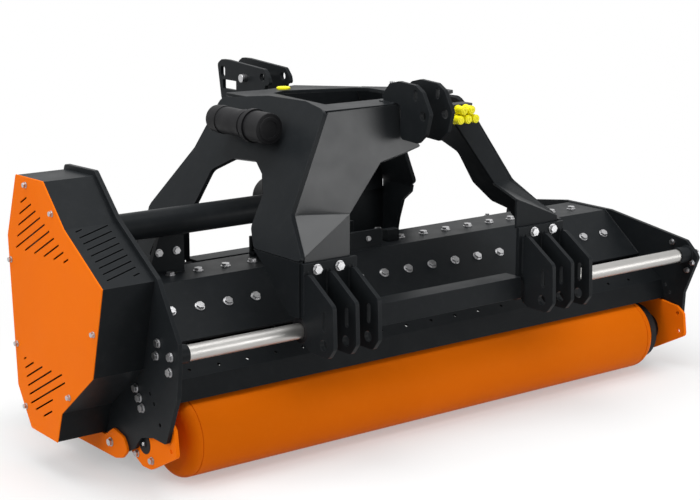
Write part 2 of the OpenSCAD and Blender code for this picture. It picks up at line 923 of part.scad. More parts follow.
module top_plate() {
    edge = arch_inner(top_z + top_t);
    color(anthracite)
        translate([tower_x, 0, top_z])
            difference() {
                linear_extrude(top_t)
                    polygon([
                        [-edge, 126], [40, 126], [edge, 258], [edge, 310], [172, 419], [16, 585],
                        [-22, 625], [-147, 590], [-edge, 602]]);
                translate([0, 0, -1])
                    linear_extrude(top_t + 2)
                        polygon([[-200, 230], [110, 230], [110, 440], [83, 467], [-119, 540], [-175, 512]]);
            }
}

module clevis_pair(outline) {
    for (x = [tower_x - clevis_half, tower_x + clevis_half])
        plate_x(outline, x - clevis_t / 2, x + clevis_t / 2, 14);
}

module front_clevis() {
    color(anthracite)
        difference() {
            clevis_pair(front_clevis_outline);
            rod_x(8, 884, top_pin_d, tower_x - 60, tower_x + 60);
            slot_x(40, 936, 14, 30, tower_x - 60, tower_x + 60);
        }
}

module rear_clevis() {
    color(anthracite)
        difference() {
            clevis_pair(rear_clevis_outline);
            rod_x(pin_y, pin_z, link_pin_d + 0.16, tower_x - 60, tower_x + 60);
            rod_x(760, 915, top_pin_d, tower_x - 60, tower_x + 60);
            slot_x(974, 915, 24, 36, tower_x - 60, tower_x + 60);
            along_x(tower_x - 60, tower_x + 60)
                translate([901, 863])
                    square([74, 28]);
        }
}

module top_link_pin() {
    color(zinc) {
        rod_x(pin_y, pin_z, link_pin_d, tower_x - 62, tower_x + 62);
        rod_x(pin_y, pin_z, 40, tower_x + 44.5, tower_x + 54);
    }
}

module hitch_side(s) {
    translate([tower_x, 0, 0])
        difference() {
            union() {
                translate([s < 0 ? -hitch_x0 - hitch_w : hitch_x0, facet_y - hitch_t, 404.5])
                    cube([hitch_w, hitch_t, foot_z - 404.5]);
                for (i = [0:2])
                    plate_x(hitch_outline, s * (hitch_inner + i * hitch_pitch) - hitch_t / 2,
                        s * (hitch_inner + i * hitch_pitch) + hitch_t / 2, 16);
            }
            rod_x(0, bar_z, bush_d, -500, 500);
            rod_x(-102, 352, lower_pin_d, -500, 500);
            slot_x(-105, 414, 14, 52, -500, 500);
        }
}

module front_hitch() {
    color(anthracite)
        for (s = [-1, 1])
            hitch_side(s);
}

module rear_hitch() {
    color(anthracite)
        rear_end()
            for (s = [-1, 1])
                hitch_side(s);
}

// Angle over the slide bar between the two groups of hitch plates
module bar_guards() {
    guard_y = -34;
    guard_z = [347, 408];
    guard_t = 8;
    color(anthracite)
        both_ends()
            translate([tower_x - hitch_x0, guard_y, 0]) {
                translate([0, 0, guard_z[0]])
                    cube([2 * hitch_x0, guard_t, guard_z[1] - guard_z[0]]);
                translate([0, 0, guard_z[1] - guard_t])
                    cube([2 * hitch_x0, 64, guard_t]);
            }
}

module slide_bushes() {
    color(black)
        both_ends()
            for (x = [tower_x - hitch_x0 - hitch_w, tower_x + hitch_x0])
                difference() {
                    rod_x(0, bar_z, bush_d, x, x + hitch_w);
                    rod_x(0, bar_z, bar_d + 0.2, x - 1, x + hitch_w + 1);
                }
}

module tower_bolts() {
    color(zinc) {
        both_ends()
            for (x = [-413, -342, 342, 413])
                translate([tower_x + x, facet_y - hitch_t, 528])
                    rotate([90, 0, 0])
                        bolt(14);
        for (p = [[139, 367], [161, 350]])
            translate([tower_x + p.x, p.y, top_z + top_t])
                cylinder(d = 14, h = 24);
    }
}

module manual_canister() {
    foot = (-canister_dx - arch_dx(canister_z)) * cos(arch_lean) - arch_t / 2;
    color(black)
        difference() {
            union() {
                rod_y(tower_x + canister_dx, canister_z, canister_d, 262, 494);
                rod_y(tower_x + canister_dx, canister_z, collar_d, 306, 322);
                for (y = [350, 460])
                    translate([tower_x + canister_dx, y, canister_z])
                        rotate([0, 90 + arch_lean, 0])
                            cylinder(d = 16, h = foot);
            }
            rod_y(tower_x + canister_dx, canister_z, canister_d - 10, 260, 486);
        }
}

module canister_cap() {
    color(black)
        difference() {
            rod_y(tower_x + canister_dx, canister_z, cap_d, 240, 305.5);
            rod_y(tower_x + canister_dx, canister_z, canister_d + 0.2, 261, 306);
        }
}

module coupler_block() {
    color(anthracite) {
        translate([tower_x + 183, coupler_y, 824])
            cube([84, coupler_t, 54]);
        for (p = coupler_places)
            rod_y(tower_x + p.x, p.y, nipple_d, coupler_y - 18, coupler_y);
    }
}

module coupler_caps() {
    color(yellow)
        for (p = coupler_places)
            difference() {
                rod_y(tower_x + p.x, p.y, nipple_d + 6, coupler_y - 34, coupler_y - 2);
                rod_y(tower_x + p.x, p.y, nipple_d + 0.2, coupler_y - 19, coupler_y - 1);
            }
}

module cylinder_rod() {
    color(chrome)
        rod_x(cylinder_y, cylinder_z, rod_d, tower_x - arch_foot + arch_t / 2, barrel_x0 + 500);
}

place() left_side_plate();
place() right_side_plate();
place() deck_shell();
place() front_apron();
place() rear_apron();
place() rear_curtain();
place() counter_blades();
place() deck_bolts();
place() slide_bars();
place() bar_bosses();
place() plate_bolts();
place() belt_housing();
place() belt_cover();
place() skids();
place() roller_brackets();
place() roller_bearings();
place() shaft_bearings();
place() gearbox_housing();
place() gearbox_stand();
place() drive_tube();
place() cylinder_barrel();
place() drive_belts();
place() tensioner_arm();
place() idler_pulley();
place() roller();
place() rotor();
place() rotor_pulley();
place() cross_shaft();
place() drive_pulley();
place() pto_shaft();
place() left_arch();
place() right_arch();
place() front_hood();
place() rear_hood();
place() top_plate();
place() front_clevis();
place() rear_clevis();
place() front_hitch();
place() rear_hitch();
place() bar_guards();
place() slide_bushes();
place() tower_bolts();
place() manual_canister();
place() canister_cap();
place() coupler_block();
place() coupler_caps();
place() cylinder_rod();
place() top_link_pin();
place() hammer(0);  // hammer_1
place() hammer(1);  // hammer_2
place() hammer(2);  // hammer_3
place() hammer(3);  // hammer_4
place() hammer(4);  // hammer_5
place() hammer(5);  // hammer_6
place() hammer(6);  // hammer_7
place() hammer(7);  // hammer_8
place() hammer(8);  // hammer_9
place() hammer(9);  // hammer_10
place() hammer(10);  // hammer_11
place() hammer(11);  // hammer_12
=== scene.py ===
"""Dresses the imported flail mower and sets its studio.

The plates get broken edges, weld beads and hems, the drive shaft its splines, and every surface its finish.
"""

import json
import math

import bmesh
import bpy
from mathutils import Matrix, Vector


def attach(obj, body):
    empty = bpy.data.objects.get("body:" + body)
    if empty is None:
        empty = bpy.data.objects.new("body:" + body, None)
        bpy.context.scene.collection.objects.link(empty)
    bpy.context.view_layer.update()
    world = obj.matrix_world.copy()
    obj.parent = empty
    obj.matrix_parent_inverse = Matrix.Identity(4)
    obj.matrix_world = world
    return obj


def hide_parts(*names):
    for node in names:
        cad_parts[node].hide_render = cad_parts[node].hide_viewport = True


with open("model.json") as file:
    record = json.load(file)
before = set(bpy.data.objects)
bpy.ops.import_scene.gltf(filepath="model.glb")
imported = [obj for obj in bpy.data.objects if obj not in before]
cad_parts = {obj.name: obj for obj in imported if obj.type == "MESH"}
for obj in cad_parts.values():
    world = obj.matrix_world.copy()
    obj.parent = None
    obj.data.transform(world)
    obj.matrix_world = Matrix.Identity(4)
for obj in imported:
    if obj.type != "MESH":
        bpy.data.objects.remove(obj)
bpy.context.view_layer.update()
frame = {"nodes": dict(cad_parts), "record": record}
record = frame["record"]
scene = bpy.context.scene
SLOT_OF = {s["node"]: s["material_slot"] for s in record["subparts"]}
BODY_OF = {n: b for b, nodes in record["behaviour"]["bodies"].items() for n in nodes}


# Materials
# Places of the colour sockets of Blender's Mix node
MIX_A, MIX_B, MIX_RESULT = 6, 7, 2
# Width of the rubbed edges in metres
WORN_WIDTH = 0.004


class Nodes:
    """Short names for building one material's node tree."""

    def __init__(self, name):
        self.material = bpy.data.materials.new(name)
        self.material.use_nodes = True
        self.tree = self.material.node_tree
        self.shader = self.tree.nodes["Principled BSDF"]
        self.coords = self.tree.nodes.new("ShaderNodeTexCoord").outputs["Object"]

    def link(self, a, b):
        self.tree.links.new(a, b)

    def set(self, **values):
        """Set inputs of the shader by their names in small letters."""
        for key, value in values.items():
            self.shader.inputs[key.replace("_", " ").title().replace("Ior", "IOR")].default_value = value

    def noise(self, scale, detail=3.0, rough=0.55, stretch=None):
        node = self.tree.nodes.new("ShaderNodeTexNoise")
        node.inputs["Scale"].default_value = scale
        node.inputs["Detail"].default_value = detail
        node.inputs["Roughness"].default_value = rough
        source = self.coords
        if stretch is not None:
            mapping = self.tree.nodes.new("ShaderNodeMapping")
            mapping.inputs["Scale"].default_value = stretch
            self.link(self.coords, mapping.inputs["Vector"])
            source = mapping.outputs["Vector"]
        self.link(source, node.inputs["Vector"])
        return node.outputs["Fac"]

    def ramp(self, source, stops):
        """Colour from two (position, colour) stops."""
        node = self.tree.nodes.new("ShaderNodeValToRGB")
        for element, (position, colour) in zip(node.color_ramp.elements, stops):
            element.position = position
            element.color = (*colour, 1)
        self.link(source, node.inputs["Fac"])
        return node.outputs["Color"]

    def span(self, source, low, high, start=0.3, end=0.7):
        """Carry the range from start to end over to the range from low to high."""
        node = self.tree.nodes.new("ShaderNodeMapRange")
        node.inputs["From Min"].default_value = start
        node.inputs["From Max"].default_value = end
        node.inputs["To Min"].default_value = low
        node.inputs["To Max"].default_value = high
        self.link(source, node.inputs["Value"])
        return node.outputs["Result"]

    def mix(self, factor, source, colour):
        """From a colour source to a fixed colour, by a factor."""
        node = self.tree.nodes.new("ShaderNodeMix")
        node.data_type = "RGBA"
        self.link(factor, node.inputs["Factor"])
        self.link(source, node.inputs[MIX_A])
        node.inputs[MIX_B].default_value = (*colour, 1)
        return node.outputs[MIX_RESULT]

    def times(self, a, b):
        node = self.tree.nodes.new("ShaderNodeMath")
        node.operation = "MULTIPLY"
        self.link(a, node.inputs[0])
        self.link(b, node.inputs[1])
        return node.outputs[0]

    def edges(self):
        """About 1 along sharp outer edges and 0 on the flats."""
        bevel = self.tree.nodes.new("ShaderNodeBevel")
        bevel.samples = 4
        bevel.inputs["Radius"].default_value = WORN_WIDTH
        geometry = self.tree.nodes.new("ShaderNodeNewGeometry")
        dot = self.tree.nodes.new("ShaderNodeVectorMath")
        dot.operation = "DOT_PRODUCT"
        self.link(bevel.outputs["Normal"], dot.inputs[0])
        self.link(geometry.outputs["Normal"], dot.inputs[1])
        return self.span(dot.outputs["Value"], low=1.0, high=0.0, start=0.75, end=0.99)

    def bump(self, *layers):
        """Layers of (height source, distance in metres, strength)."""
        normal = None
        for source, distance, strength in layers:
            node = self.tree.nodes.new("ShaderNodeBump")
            node.inputs["Distance"].default_value = distance
            node.inputs["Strength"].default_value = strength
            self.link(source, node.inputs["Height"])
            if normal is not None:
                self.link(normal, node.inputs["Normal"])
            normal = node.outputs["Normal"]
        self.link(normal, self.shader.inputs["Normal"])

    def colour(self, source):
        self.link(source, self.shader.inputs["Base Color"])

    def roughness(self, source):
        self.link(source, self.shader.inputs["Roughness"])


def paint(name, dark, light, edge, rough, specular, tint=(1, 1, 1)):
    """Powder coat: slow shade changes, fine orange peel, dust, and edges rubbed a little lighter."""
    n = Nodes(name)
    slow = n.ramp(n.noise(2.2, detail=4), [(0.3, dark), (0.7, light)])
    dust = n.span(n.noise(34, detail=6, rough=0.7), low=0.0, high=0.16, start=0.5, end=0.75)
    dusty = n.mix(dust, slow, edge)
    worn = n.times(n.edges(), n.span(n.noise(60, detail=4), low=0.15, high=0.7))
    n.colour(n.mix(worn, dusty, edge))
    n.roughness(n.span(n.noise(14, detail=5), low=rough - 0.03, high=rough + 0.04))
    n.set(specular_ior_level=specular, specular_tint=(*tint, 1))
    n.bump((n.noise(420, detail=2), 0.0002, 0.25), (n.noise(1500, detail=2), 0.00006, 0.3))
    return n.material


def plated(name, dark, light, rough, stretch, line_scale):
    """Plated or ground steel with fine lines along one way and faint stains."""
    n = Nodes(name)
    lines = n.noise(line_scale, rough=0.6, stretch=stretch)
    stains = n.noise(6, detail=5, rough=0.6)
    tone = n.ramp(lines, [(0.25, dark), (0.75, light)])
    n.colour(n.mix(n.span(stains, low=0.0, high=0.25, start=0.5, end=0.8), tone, dark))
    n.roughness(n.span(stains, low=rough - 0.05, high=rough + 0.1))
    n.set(metallic=1.0)
    n.bump((lines, 0.00004, 0.25))
    return n.material


def casting(name, dark, light, rough):
    """Sand casting under a thin coat: coarse grain and pores."""
    n = Nodes(name)
    grain = n.noise(180, detail=6, rough=0.65)
    coat = n.ramp(n.noise(5, detail=5), [(0.3, dark), (0.7, light)])
    n.colour(n.mix(n.times(n.edges(), grain), coat, light))
    n.roughness(n.span(grain, low=rough - 0.08, high=rough + 0.12))
    n.set(specular_ior_level=0.4)
    n.bump((grain, 0.0006, 0.35), (n.noise(700), 0.0002, 0.3))
    return n.material


def moulded(name, dark, light, rough, grain_scale, depth, specular):
    """Moulded plastic or rubber with a fine grained skin."""
    n = Nodes(name)
    n.colour(n.ramp(n.noise(12, detail=5), [(0.3, dark), (0.7, light)]))
    n.roughness(n.span(n.noise(30, detail=4), low=rough - 0.06, high=rough + 0.06))
    n.set(specular_ior_level=specular)
    cells = n.tree.nodes.new("ShaderNodeTexVoronoi")
    cells.inputs["Scale"].default_value = grain_scale
    n.link(n.coords, cells.inputs["Vector"])
    fine = n.noise(grain_scale * 2, detail=2)
    n.bump((cells.outputs["Distance"], depth, 0.3), (fine, depth / 3, 0.3))
    return n.material


ORANGE_TINT = (1.0, 0.42, 0.05)
MATERIALS = {
    "dark_paint": paint(
        "anthracite_powder_coat",
        dark=(0.0088, 0.0104, 0.0118),
        light=(0.0132, 0.0150, 0.0166),
        edge=(0.034, 0.036, 0.038),
        rough=0.40,
        specular=0.06,
    ),
    # Painted light: a lighter, more reflective copy of the anthracite coat, so the front hood reads as lit
    "lit_hood_paint": paint(
        "anthracite_painted_light_coat",
        dark=(0.0105, 0.0120, 0.0134),
        light=(0.0140, 0.0157, 0.0172),
        edge=(0.036, 0.038, 0.040),
        rough=0.36,
        specular=0.36,
    ),
    # Painted shade: a darker copy of the anthracite coat for the front apron, which lies in shade under the
    # hitch and bar
    "shaded_apron_paint": paint(
        "anthracite_painted_shade_coat",
        dark=(0.0058, 0.0069, 0.0079),
        light=(0.0086, 0.0098, 0.0110),
        edge=(0.022, 0.024, 0.025),
        rough=0.5,
        specular=0.05,
    ),
    "orange_paint": paint(
        "orange_powder_coat",
        dark=(0.86, 0.160, 0.003),
        light=(0.92, 0.178, 0.004),
        edge=(0.93, 0.22, 0.01),
        rough=0.45,
        specular=0.03,
        tint=ORANGE_TINT,
    ),
    # Painted shade: a darker copy of the orange coat for the roller, which lies in shade under the deck
    "shaded_roller_paint": paint(
        "orange_painted_shade_coat",
        dark=(0.64, 0.124, 0.002),
        light=(0.70, 0.138, 0.003),
        edge=(0.74, 0.17, 0.008),
        rough=0.48,
        specular=0.03,
        tint=ORANGE_TINT,
    ),
    "bright_bar": plated(
        "ground_chrome",
        dark=(0.38, 0.372, 0.358),
        light=(0.47, 0.46, 0.445),
        rough=0.38,
        stretch=(0.02, 1, 1),
        line_scale=900,
    ),
    "zinc": plated(
        "bright_zinc",
        dark=(0.36, 0.36, 0.365),
        light=(0.56, 0.56, 0.57),
        rough=0.32,
        stretch=(1, 1, 1),
        line_scale=300,
    ),
    "cast_grey": casting(
        "dark_casting",
        dark=(0.010, 0.011, 0.012),
        light=(0.020, 0.0215, 0.023),
        rough=0.55,
    ),
    "black_plastic": moulded(
        "black_grained_plastic",
        dark=(0.007, 0.007, 0.008),
        light=(0.013, 0.013, 0.014),
        rough=0.5,
        grain_scale=900,
        depth=0.0002,
        specular=0.12,
    ),
    "black_rubber": moulded(
        "black_rubber",
        dark=(0.010, 0.010, 0.010),
        light=(0.018, 0.018, 0.017),
        rough=0.68,
        grain_scale=500,
        depth=0.0003,
        specular=0.3,
    ),
    "yellow_plastic": moulded(
        "yellow_cap_plastic",
        dark=(0.90, 0.80, 0.003),
        light=(0.97, 0.90, 0.008),
        rough=0.4,
        grain_scale=700,
        depth=0.0001,
        specular=0.2,
    ),
}


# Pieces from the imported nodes, in metres
SHARP = math.radians(28)
FLAT = math.radians(0.6)
MERGE = 2e-5
EDGE_WIDTH = {
    "dark_paint": 0.0016,
    "orange_paint": 0.0016,
    "bright_bar": 0.0015,
    "zinc": 0.0012,
    "cast_grey": 0.002,
    "black_plastic": 0.002,
    "black_rubber": 0.001,
    "yellow_plastic": 0.002,
}
# Painted light and shade: the hood gets the lighter copy of the coat, the apron and the roller the darker
# copies
FINISH_OF = {"front_hood": "lit_hood_paint", "front_apron": "shaded_apron_paint", "roller": "shaded_roller_paint"}
# The strip down the right leg belongs to the hood's node but has the plain coat, without the painted light
PLAIN_FROM_X = {"front_hood": 0.12}
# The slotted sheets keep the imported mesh
SLOTTED = ("belt_housing", "belt_cover")
# These nodes get a new mesh further down
REMADE = ("rear_curtain", "pto_shaft")


def add_piece(name, bm, body, slot, *nodes, finish=None):
    """A new object from a bmesh that moves with a body, in place of the given nodes."""
    mesh = bpy.data.meshes.new(name + "_mesh")
    bm.to_mesh(mesh)
    bm.free()
    mesh.materials.append(MATERIALS[finish or slot])
    piece = bpy.data.objects.new(name, mesh)
    scene.collection.objects.link(piece)
    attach(piece, body)
    if nodes:
        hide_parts(*nodes)
    return piece


def break_edges(bm, width):
    """Bevel the sharp edges, and keep the shading of flats and rounds apart from that of the bevels."""
    sharp = [e for e in bm.edges if len(e.link_faces) == 2 and e.calc_face_angle(0) > SHARP]
    made = bmesh.ops.bevel(
        bm,
        geom=sharp,
        offset=width,
        offset_type="OFFSET",
        segments=2,
        profile=0.5,
        affect="EDGES",
        clamp_overlap=True,
        miter_outer="ARC",
    )
    bevels = set(made["faces"])
    bmesh.ops.recalc_face_normals(bm, faces=bm.faces)
    for face in bm.faces:
        face.smooth = True
    for edge in bm.edges:
        sides = [face in bevels for face in edge.link_faces]
        edge.smooth = len(set(sides)) == 1 and edge.calc_face_angle(0) < SHARP


def dress(node, width):
    """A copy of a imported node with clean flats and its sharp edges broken, in place of the node."""
    bm = bmesh.new()
    bm.from_mesh(frame["nodes"][node].data)
    bmesh.ops.remove_doubles(bm, verts=bm.verts, dist=MERGE)
    bmesh.ops.dissolve_limit(
        bm, angle_limit=FLAT, verts=bm.verts, edges=bm.edges, use_dissolve_boundaries=False
    )
    break_edges(bm, width)
    slot = SLOT_OF[node]
    piece = add_piece(node + "_dressed", bm, BODY_OF[node], slot, node, finish=FINISH_OF.get(node))
    if node in PLAIN_FROM_X:
        piece.data.materials.append(MATERIALS[slot])
        for face in piece.data.polygons:
            face.material_index = int(face.center.x > PLAIN_FROM_X[node])


for node in sorted(SLOT_OF):
    if node in SLOTTED:
        frame["nodes"][node].data.materials.clear()
        frame["nodes"][node].data.materials.append(MATERIALS[SLOT_OF[node]])
    elif node not in REMADE:
        dress(node, EDGE_WIDTH[SLOT_OF[node]])


# Added detail, in the millimetres of the part's own working axes; widths of broken edges are in metres
ROW_SHIFT = Vector((68.0, -428.3, 0.0))
X_AXIS, Y_AXIS, Z_AXIS = Vector((1, 0, 0)), Vector((0, 1, 0)), Vector((0, 0, 1))
SHARP_TRIM = math.radians(40)

# Deck
HALF_W, MID_Y, DECK_Z = 925.0, 430.0, 452.0
BAR_AXES = ((0, 368), (790, 348))
CYLINDER_Y, CYLINDER_Z = 705, 360
ROLLER_Y, ROLLER_Z = 136, 108
CROSS_Z = 598.0
GEARBOX_X, GEARBOX_HALF_Y, GEARBOX_HALF_Z = -235.0, 76, 92
GEARBOX_NECK, GEARBOX_END = 150, 81

# Tower
TOWER_X, TOP_Z = -85.0, 905
REAR_TURN_Y, REAR_DROP = 790, 20
HITCH_INNER, HITCH_PITCH, CLEVIS_X = 306, 71, 38
PLATE_HALF = 6

# Weld beads: length of a step and radius at the ends, as shares of the radius
BEAD_STEP, BEAD_END = 0.8, 0.6
BEAD_SIDES, RIPPLE_STEPS = 8, 4

# Bolts: (height, radius) of the washer and of the hexagon head, as shares of the bolt's size
WASHER = ((0, 1), (0.14, 1), (0.18, 0.96))
WASHER_SIDES = 28
HEAD = ((0.18, 0.92), (0.72, 0.92), (0.82, 0.8))
HEAD_SIDES = 6


def at(x, y, z):
    """A place of the working axes in the frame's metres."""
    return (Vector((x, y, z)) + ROW_SHIFT) / 1000


def rear(points):
    """Points of the front hitch carried to the rear one."""
    return [(2 * TOWER_X - x, REAR_TURN_Y - y, z - REAR_DROP) for x, y, z in points]


def loop_faces(bm, rings, closed_ends=True):
    """Skin between rings of equal length, with or without end caps."""
    count = len(rings[0])
    for a, b in zip(rings, rings[1:]):
        for i in range(count):
            j = (i + 1) % count
            bm.faces.new((a[i], a[j], b[j], b[i]))
    if closed_ends:
        bm.faces.new(rings[0][::-1])
        bm.faces.new(rings[-1])


def bead(bm, points, radius, ripple=0.13):
    """A rippled weld bead along a line of points, or a plain hem without ripple."""
    corners = [Vector(p) for p in points]
    line = []
    for a, b in zip(corners, corners[1:]):
        count = max(1, round((b - a).length / (radius * BEAD_STEP)))
        line += [a.lerp(b, i / count) for i in range(count)]
    line.append(corners[-1])
    last = len(line) - 1
    side, rings = None, []
    for i, p in enumerate(line):
        ahead = (line[min(i + 1, last)] - line[max(i - 1, 0)]).normalized()
        side = ahead.orthogonal() if side is None else side - ahead * side.dot(ahead)
        side.normalize()
        other = ahead.cross(side)
        taper = BEAD_END if i in (0, last) else 1.0
        r = radius * (1.0 + ripple * math.cos(i * math.tau / RIPPLE_STEPS)) * taper
        ring = []
        for k in range(BEAD_SIDES):
            turn = k * math.tau / BEAD_SIDES
            ring.append(bm.verts.new(at(*(p + side * r * math.cos(turn) + other * r * math.sin(turn)))))
        rings.append(ring)
    loop_faces(bm, rings)


def circle(centre, axis, radius, count):
    """Circle of points about an axis."""
    side = axis.orthogonal().normalized()
    other = axis.cross(side)
    turns = [k * math.tau / count for k in range(count)]
    return [Vector(centre) + side * radius * math.cos(t) + other * radius * math.sin(t) for t in turns]


def ring_bead(bm, centre, axis, ring_radius, radius, count=60):
    """A weld bead all round a rod or tube."""
    ring = circle(centre, axis, ring_radius, count)
    bead(bm, ring + ring[:1], radius)


def turned_rings(bm, centre, axis, profile, count):
    """Rings of vertices about an axis, one for each (height, radius) pair."""
    side = axis.orthogonal().normalized()
    other = axis.cross(side)
    rings = []
    for height, radius in profile:
        ring = []
        for k in range(count):
            turn = k * math.tau / count
            p = Vector(centre) + axis * height + (side * math.cos(turn) + other * math.sin(turn)) * radius
            ring.append(bm.verts.new(at(*p)))
        rings.append(ring)
    return rings


def lathe(bm, centre, axis, profile, count):
    """Solid of revolution from (height, radius) pairs along an axis, or a prism where count is small."""
    loop_faces(bm, turned_rings(bm, centre, axis, profile, count))


def ring_band(bm, centre, axis, low, high, inner, outer, count=48):
    """Flat ring with a rounded outer edge, from low to high along an axis."""
    edge = min(1.0, (high - low) / 3)
    profile = [
        (low, inner),
        (low, outer - edge),
        (low + edge, outer),
        (high - edge, outer),
        (high, outer - edge),
        (high, inner),
        (low, inner),
    ]
    loop_faces(bm, turned_rings(bm, centre, axis, profile, count), closed_ends=False)
    bmesh.ops.remove_doubles(bm, verts=bm.verts, dist=1e-6)


def block(bm, low, high):
    """Box between two corners."""
    base = ((low[0], low[1]), (high[0], low[1]), (high[0], high[1]), (low[0], high[1]))
    loop_faces(bm, [[bm.verts.new(at(x, y, z)) for x, y in base] for z in (low[2], high[2])])


def hex_bolt(bm, centre, axis, size):
    """Hexagon head with a chamfered top on a washer."""
    lathe(bm, centre, axis, [(size * h, size * r) for h, r in WASHER], WASHER_SIDES)
    lathe(bm, centre, axis, [(size * h, size * r) for h, r in HEAD], HEAD_SIDES)


def detail(name, bm, body, slot, *nodes, width=0.0, sharp=SHARP_TRIM):
    """Finish a bmesh of added detail as one piece, with its edges broken where a width is given."""
    bmesh.ops.recalc_face_normals(bm, faces=bm.faces)
    if width:
        break_edges(bm, width)
    else:
        for face in bm.faces:
            face.smooth = True
        for edge in bm.edges:
            edge.smooth = edge.calc_face_angle(0) < sharp
    add_piece(name, bm, body, slot, *nodes)


# Rolled hem round the belt cover
CASING = [
    (476, 764), (329, 767), (227, 663), (44, 549), (106, 314),
    (276, 181), (305, 98), (446, 100), (514, 201), (536, 598),
]
HEM_X, HEM_RADIUS = -1079.6, 1.7
bm = bmesh.new()
bead(bm, [(HEM_X, y, z) for y, z in CASING + CASING[:1]], HEM_RADIUS, ripple=0.0)
detail("cover_hem", bm, "deck", "orange_paint")

# Weld beads of the deck
SHELL = [(197, 334), (350, DECK_Z), (510, DECK_Z), (663, 334)]
BOSS_RADIUS, TUBE_RADIUS, BARREL_RADIUS = 25.5, 39, 28.5
BRACKET_Y, BRACKET_FOOT, BRACKET_HEAD = 442, (-730, -608), (-662, -608)
LUG_FACES, LUG_WELD = (770, 792), ((616, 371), (660, 337))
RAIL_Y, RAIL_ENDS = 75, (-118, 244)
bm = bmesh.new()
for x in (-HALF_W + 1.5, HALF_W - 1.5):
    bead(bm, [(x, y, z) for y, z in SHELL], radius=3.2)
for x in (-HALF_W + 1, HALF_W - 1):
    for y, z in BAR_AXES:
        ring_bead(bm, (x, y, z), X_AXIS, BOSS_RADIUS, radius=2.5)
ring_bead(bm, (-HALF_W + 10, MID_Y, CROSS_Z), X_AXIS, TUBE_RADIUS, radius=3.5)
bead(bm, [(x, BRACKET_Y, DECK_Z) for x in BRACKET_FOOT], radius=4)
bead(bm, [(x, BRACKET_Y, CROSS_Z - TUBE_RADIUS + 1) for x in BRACKET_HEAD], radius=3)
for x in LUG_FACES:
    bead(bm, [(x, y, z) for y, z in LUG_WELD], radius=3)
ring_bead(bm, (LUG_FACES[0] + 2, CYLINDER_Y, CYLINDER_Z), X_AXIS, BARREL_RADIUS, radius=3, count=48)
for y in (MID_Y - RAIL_Y, MID_Y + RAIL_Y):
    bead(bm, [(GEARBOX_X + x, y, DECK_Z) for x in RAIL_ENDS], radius=3.5)
detail("deck_welds", bm, "deck", "dark_paint")

# Weld beads of the tower
HITCH_FACE_Y, HITCH_WELD_Z = -21, (412, 526)
FRONT_CLEVIS_WELD = ((130, TOP_Z + 0.5), (194, TOP_Z + 0.5))
REAR_CLEVIS_WELD = ((753, 804), (747.5, 870))
bm = bmesh.new()
for s in (-1, 1):
    for i in range(3):
        for face in (-PLATE_HALF, PLATE_HALF):
            x = TOWER_X + s * (HITCH_INNER + HITCH_PITCH * i) + face
            run = [(x, HITCH_FACE_Y, z) for z in HITCH_WELD_Z]
            bead(bm, run, radius=3)
            bead(bm, rear(run), radius=3)
for middle in (-CLEVIS_X, CLEVIS_X):
    for face in (-PLATE_HALF, PLATE_HALF):
        for run in (FRONT_CLEVIS_WELD, REAR_CLEVIS_WELD):
            bead(bm, [(TOWER_X + middle + face, y, z) for y, z in run], radius=2.5)
detail("tower_welds", bm, "tower", "dark_paint")

# Ribs on the front, back and top of the gearbox
RIB_HALF = 6
FACE_RIB_X, FACE_RIB_Y, FACE_RIB_REACH = 57, (GEARBOX_HALF_Y - 1, GEARBOX_HALF_Y + 14), 86
TOP_RIB_X, TOP_RIB_Z, TOP_RIB_REACH = 46, (GEARBOX_HALF_Z - 1, GEARBOX_HALF_Z + 8), 60
bm = bmesh.new()
near, far = FACE_RIB_Y
for y0, y1 in ((MID_Y - far, MID_Y - near), (MID_Y + near, MID_Y + far)):
    for x in (GEARBOX_X - FACE_RIB_X, GEARBOX_X + FACE_RIB_X):
        block(
            bm,
            (x - RIB_HALF, y0, CROSS_Z - FACE_RIB_REACH),
            (x + RIB_HALF, y1, CROSS_Z + FACE_RIB_REACH),
        )
near, far = TOP_RIB_Z
for x in (GEARBOX_X - TOP_RIB_X, GEARBOX_X + TOP_RIB_X):
    block(
        bm,
        (x - RIB_HALF, MID_Y - TOP_RIB_REACH, CROSS_Z + near),
        (x + RIB_HALF, MID_Y + TOP_RIB_REACH, CROSS_Z + far),
    )
detail("gearbox_ribs", bm, "deck", "cast_grey", width=0.0025)

# Bolts of the gearbox's end cover and necks, its filling plug, and two bolts by its rails
COVER_BOLTS_RADIUS, NECK_BOLTS_RADIUS, BOLTS_ROUND = 54, 45, 6
PLUG_Z = CROSS_Z + GEARBOX_HALF_Z + 14
UPRIGHT_BOLT, FACE_BOLT = (34, 405, 488), (-40, 356, 482)
bm = bmesh.new()
for p in circle((GEARBOX_X + GEARBOX_END, MID_Y, CROSS_Z), X_AXIS, COVER_BOLTS_RADIUS, BOLTS_ROUND):
    hex_bolt(bm, p, X_AXIS, size=8)
for s in (-1, 1):
    neck = (GEARBOX_X, MID_Y + s * GEARBOX_NECK, CROSS_Z)
    for p in circle(neck, Y_AXIS * s, NECK_BOLTS_RADIUS, BOLTS_ROUND):
        hex_bolt(bm, p, Y_AXIS * s, size=5)
hex_bolt(bm, (GEARBOX_X, MID_Y, PLUG_Z), Z_AXIS, size=12)
hex_bolt(bm, UPRIGHT_BOLT, Z_AXIS, size=11)
hex_bolt(bm, FACE_BOLT, -Y_AXIS, size=8)
detail("gearbox_bolts", bm, "deck", "zinc")

# Splined drive shaft with a locking groove at each end
SPLINE_OUTER, SPLINE_INNER, JOURNAL_RADIUS = 17.45, 14.9, 19.95
SPLINE_STEPS, STEPS_PER_TOOTH, TOOTH_STEPS = 72, 12, (0, 1, 2, 3, 10, 11)
